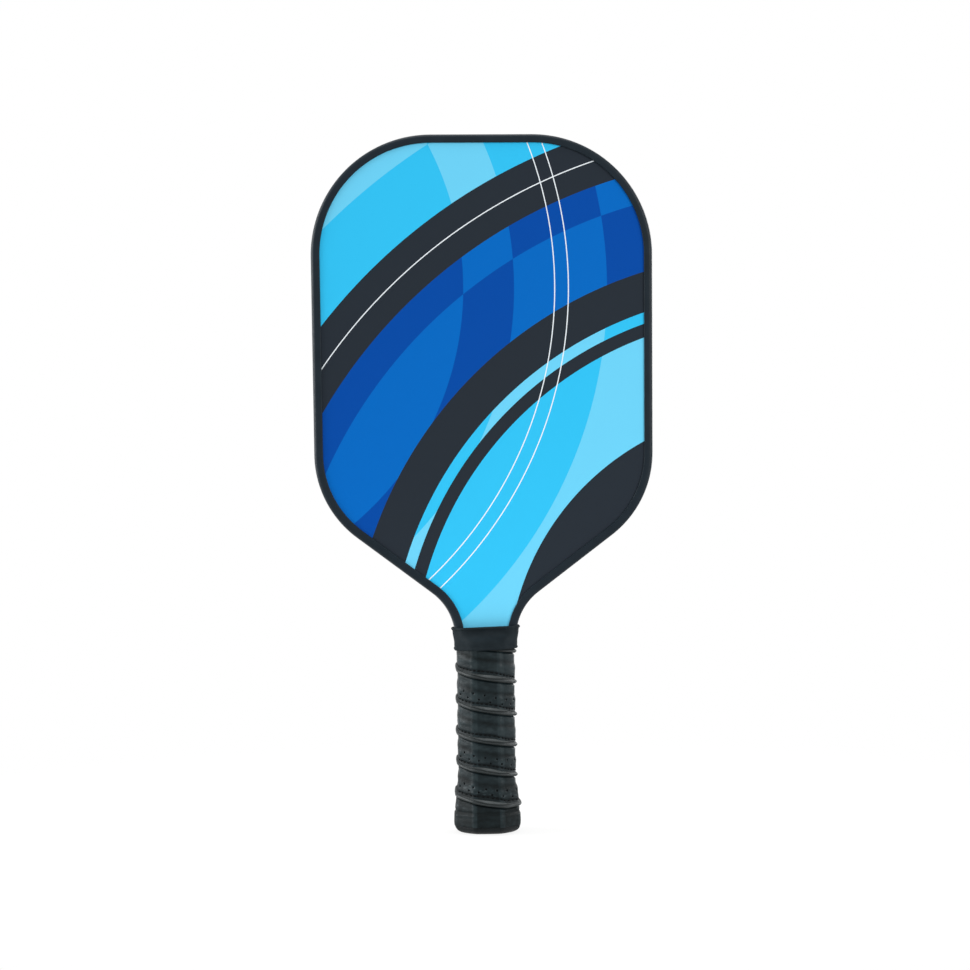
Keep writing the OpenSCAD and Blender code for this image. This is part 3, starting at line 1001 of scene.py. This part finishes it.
def handle_foam():
    """Grey rigid foam of the handle halves."""
    tones = (srgb(150, 146, 136), srgb(174, 170, 160))
    return mottled("handle_foam", tones, size=2, rough=(0.8, 0.95), pore=0.8, depth=0.08)


def staple_steel():
    """Bright steel wire."""
    tones = (srgb(168, 170, 172), srgb(190, 192, 194))
    return mottled("staple_steel", tones, size=1, rough=(0.3, 0.42), pore=0.2, depth=0.005, metal=1)


def finishing_tape():
    """Black tape that holds the grip's upper end."""
    tones = (srgb(20, 21, 23), srgb(30, 31, 33))
    return mottled("finishing_tape", tones, size=3, rough=(0.4, 0.5), pore=0.4, depth=0.01)


def worn_leather(name, tones, gloss):
    """Synthetic leather: fine pores and soft horizontal creases. Its colour follows the points' random tone
    with painted shade and painted highlights, and it is smoother where that is lighter.
    """
    material, tree, shader, place = start_material(name, gloss)
    wear = add(tree, "Attribute", attribute_name="wear").outputs["Fac"]
    tone = grain(tree, stretched(tree, place, TONE_STRETCH), TONE_SIZE)
    varied = {0: tone, 1: TONE_SHARE, 2: -TONE_SHARE / 2}
    mottling = add(tree, "Math", varied, operation="MULTIPLY_ADD").outputs[0]
    # Painted shade and painted highlights from the points, with random mottling
    share = add(tree, "Math", {0: wear, 1: mottling}, operation="ADD").outputs[0]
    creases = grain(tree, stretched(tree, place, CREASE_STRETCH), CREASE_SIZE, CREASE_DETAIL)
    pores = add(tree, "TexVoronoi", {"Vector": place, "Scale": 1 / (PORE_SIZE * MM)}).outputs[0]
    wire(
        tree, shader,
        Base_Color=ramp(tree, share, list(zip(TONE_STOPS, tones))),
        Roughness=ranged(tree, share, WEAR_RANGE, LEATHER_ROUGH),
        Normal=bump(tree, pores, PORE_DEPTH, bump(tree, creases, CREASE_DEPTH)),
    )
    return material


def grip_leather():
    """Dark leather of the tape."""
    return worn_leather("grip_leather", (srgb(3, 11, 13), srgb(18, 28, 31), srgb(37, 47, 50)), gloss=0.13)


def piping_leather():
    """Lighter leather of the piping."""
    return worn_leather("piping_leather", (srgb(20, 25, 26), srgb(40, 45, 46), srgb(76, 81, 82)), gloss=0.2)


# Print on the face

# Its colours, and the two ends of a mask
INK = srgb(38, 45, 53)
CYAN = srgb(50, 192, 241)
PALE_CYAN = srgb(108, 208, 244)
ROYAL = srgb(2, 103, 191)
DEEP_BLUE = srgb(2, 73, 162)
WHITE = srgb(236, 243, 248)
CLEAR = (0, 0, 0, 1)
FULL = (1, 1, 1, 1)

# Bands of the waves by start radius, and what each colour turns into under the crossing wave
WAVES = (
    (110, INK), (152, CYAN), (207, INK), (214, PALE_CYAN), (221, INK), (243, ROYAL), (282, DEEP_BLUE),
    (300, INK), (328, CYAN), (364, PALE_CYAN),
)
CROSSED = {INK: INK, CYAN: PALE_CYAN, PALE_CYAN: CYAN, ROYAL: DEEP_BLUE, DEEP_BLUE: ROYAL}

# Finish of the sheet: its gloss, the size and range of its roughness, and its fine grain
FACE_GLOSS = 0.06
FACE_MOTTLE = 6
FACE_ROUGH = (0.5, 0.58)
FACE_GRAIN = 0.5
FACE_DETAIL = 4
FACE_DEPTH = 0.02


def from_centre(tree, place, centre):
    """Distance on the face from a centre, the same on both sides of the paddle."""
    flat = stretched(tree, place, (1, 0, 1))
    point = (centre[0] * MM, 0, centre[1] * MM)
    return add(tree, "VectorMath", {0: flat, 1: point}, operation="DISTANCE").outputs["Value"]


def rings_of(tree, place, centre, start, bands):
    """Bands of even colour by distance from a centre on the face. bands are start radii and colours."""
    far = from_centre(tree, place, centre)
    share = ranged(tree, far, (start * MM, PRINT_END * MM))
    stops = [((radius - start) / (PRINT_END - start), colour) for radius, colour in bands]
    return ramp(tree, share, stops, "CONSTANT")


def crossing(tree, place):
    """A mask that is 1 on the crossing wave's bands and 0 elsewhere."""
    bands = [(0, CLEAR)]
    for first, last in CROSS_BANDS:
        bands += [(first, FULL), (last, CLEAR)]
    return rings_of(tree, place, CROSS_CENTRE, 0, bands)


def fine_line(tree, place, centre, radius):
    """A mask that is 1 on a thin circle on the face and 0 elsewhere."""
    far = from_centre(tree, place, centre)
    inputs = {0: far, 1: radius * MM, 2: LINE_W / 2 * MM}
    return add(tree, "Math", inputs, operation="COMPARE").outputs[0]


def mixed(tree, mask, under, over):
    """One colour over another, by a mask."""
    return add(tree, "Mix", {0: mask, 6: under, 7: over}, data_type="RGBA").outputs[2]


def printed_face():
    """The satin printed sheet: waves of blue on black, in other tones where a wave crosses, and lines."""
    material, tree, shader, place = start_material("printed_face", FACE_GLOSS)
    plain = rings_of(tree, place, WAVE_CENTRE, PRINT_START, WAVES)
    changed = [(radius, CROSSED[colour]) for radius, colour in WAVES]
    crossed = rings_of(tree, place, WAVE_CENTRE, PRINT_START, changed)
    colour = mixed(tree, crossing(tree, place), plain, crossed)
    for centre, radius in FINE_LINES:
        colour = mixed(tree, fine_line(tree, place, centre, radius), colour, WHITE)
    wire(
        tree, shader,
        Base_Color=colour,
        Roughness=ranged(tree, grain(tree, place, FACE_MOTTLE), NOISE_RANGE, FACE_ROUGH),
        Normal=bump(tree, grain(tree, place, FACE_GRAIN, FACE_DETAIL), FACE_DEPTH),
    )
    return material


def looks():
    """Every material, by what it is for."""
    return {
        "guard": guard_plastic(), "face": printed_face(), "leather": grip_leather(),
        "piping": piping_leather(), "thread": stitch_thread(), "hole": perforation_dark(),
        "collar": collar_rubber(), "cap": cap_rubber(), "core": core_plastic(),
        "adhesive": adhesive_film(), "foam": handle_foam(), "steel": staple_steel(),
        "finishing": finishing_tape(),
    }


def dress_nodes(look):
    """Gives every CAD node its material."""
    finish = {
        "honeycomb_core": "core", "front_film": "adhesive", "back_film": "adhesive",
        "front_face_sheet": "face", "back_face_sheet": "face", "edge_guard": "guard",
        "front_handle_half": "foam", "back_handle_half": "foam", "butt_cap": "cap",
        "butt_cap_staples": "steel", "grip_tape": "leather", "grip_piping": "piping",
        "finishing_tape": "finishing", "collar": "collar",
    }
    for name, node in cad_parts.items():
        node.data.materials.clear()
        node.data.materials.append(look[finish[name]])


# Stage, light and camera

def background_rays(tree):
    """1 for rays that show the background, straight or in a gloss or glass, and 0 for those that light."""
    path = add(tree, "LightPath").outputs
    seen = path["Is Camera Ray"]
    for kind in ("Is Glossy Ray", "Is Transmission Ray"):
        seen = add(tree, "Math", {0: seen, 1: path[kind]}, operation="MAXIMUM").outputs[0]
    return seen


def floor():
    """A pale floor that fades out round the paddle."""
    material = bpy.data.materials.new("pale_floor")
    material.use_nodes = True
    tree = material.node_tree
    tree.nodes.clear()
    place = add(tree, "TexCoord").outputs["Object"]
    far = add(tree, "VectorMath", {0: place}, operation="LENGTH").outputs["Value"]
    edges = {0: far, 1: FLOOR_FADE[0] * MM, 2: FLOOR_FADE[1] * MM}
    fade = add(tree, "MapRange", edges, interpolation_type="SMOOTHSTEP").outputs[0]
    glow = add(tree, "Math", {0: background_rays(tree), 1: FLOOR_GLOW}, operation="MULTIPLY").outputs[0]
    matte = add(tree, "BsdfDiffuse", {"Color": srgb(244, 244, 242)}).outputs[0]
    white = add(tree, "Emission", {"Color": FULL, "Strength": 1}).outputs[0]
    pale = add(tree, "MixShader", {0: glow, 1: matte, 2: white}).outputs[0]
    clear = add(tree, "BsdfTransparent").outputs[0]
    both = add(tree, "MixShader", {0: fade, 1: pale, 2: clear}).outputs[0]
    add(tree, "OutputMaterial", {"Surface": both})
    bpy.ops.mesh.primitive_circle_add(vertices=FLOOR_SIDES, radius=FLOOR_R * MM, fill_type="NGON")
    made = bpy.context.object
    made.name = "floor"
    made.data.materials.append(material)


def sky():
    """A white surround for the camera, and a dimmer one that lights the object."""
    world = bpy.data.worlds.new("studio")
    bpy.context.scene.world = world
    world.use_nodes = True
    tree = world.node_tree
    tree.nodes.clear()
    strength = ranged(tree, background_rays(tree), (0, 1), (SKY_LIGHT, 1))
    back = add(tree, "Background", {"Color": FULL, "Strength": strength}).outputs[0]
    add(tree, "OutputWorld", {"Surface": back})


def lamp(name, place, aim, size, power):
    """A soft rectangular lamp."""
    data = bpy.data.lights.new(name, "AREA")
    data.shape = "RECTANGLE"
    data.size, data.size_y = np.array(size) * MM
    data.energy = power
    made = bpy.data.objects.new(name, data)
    made.location = Vector(place) * MM
    made.rotation_euler = (Vector(aim) - Vector(place)).to_track_quat("-Z", "Y").to_euler()
    bpy.context.scene.collection.objects.link(made)


def lamps():
    """A strong lamp on the left and a weaker one on the right, in front and again behind, and one above."""
    middle = (0, 0, 200)
    for name, side in (("front", -1), ("back", 1)):
        lamp(f"{name}_key", place=(-1800, 340 * side, 700), aim=middle, size=(800, 1500), power=24.5)
        lamp(f"{name}_fill", place=(1400, 1170 * side, 700), aim=middle, size=(800, 1300), power=18)
    lamp("overhead", place=(0, 0, 2100), aim=(0, 0, 0), size=(1400, 1400), power=20)


def camera():
    """A camera at the photograph's angle, distance and framing."""
    data = bpy.data.cameras.new("camera")
    data.sensor_width = SENSOR
    data.lens = SENSOR * CAMERA_D / (IMAGE_PX * MM_PER_PX)
    made = bpy.data.objects.new("camera", data)
    yaw = math.radians(CAMERA_YAW)
    back = Vector((math.sin(yaw), -math.cos(yaw), 0))
    made.location = (Vector(AIM) + back * CAMERA_D) * MM
    made.rotation_mode = "QUATERNION"
    roll = Quaternion((0, 0, 1), -math.radians(CAMERA_ROLL))
    made.rotation_quaternion = (-back).to_track_quat("-Z", "Y") @ roll
    bpy.context.scene.collection.objects.link(made)
    bpy.context.scene.camera = made


look = looks()
camera()
dress_nodes(look)
edge_guard(look["guard"])
grip_tape(look["leather"], look["hole"])
grip_piping(look["piping"])
grip_stitches(look["thread"])
butt_cap(look["cap"])
collar(look["collar"])
floor()
sky()
lamps()
bpy.context.scene.view_settings.view_transform = "Standard"
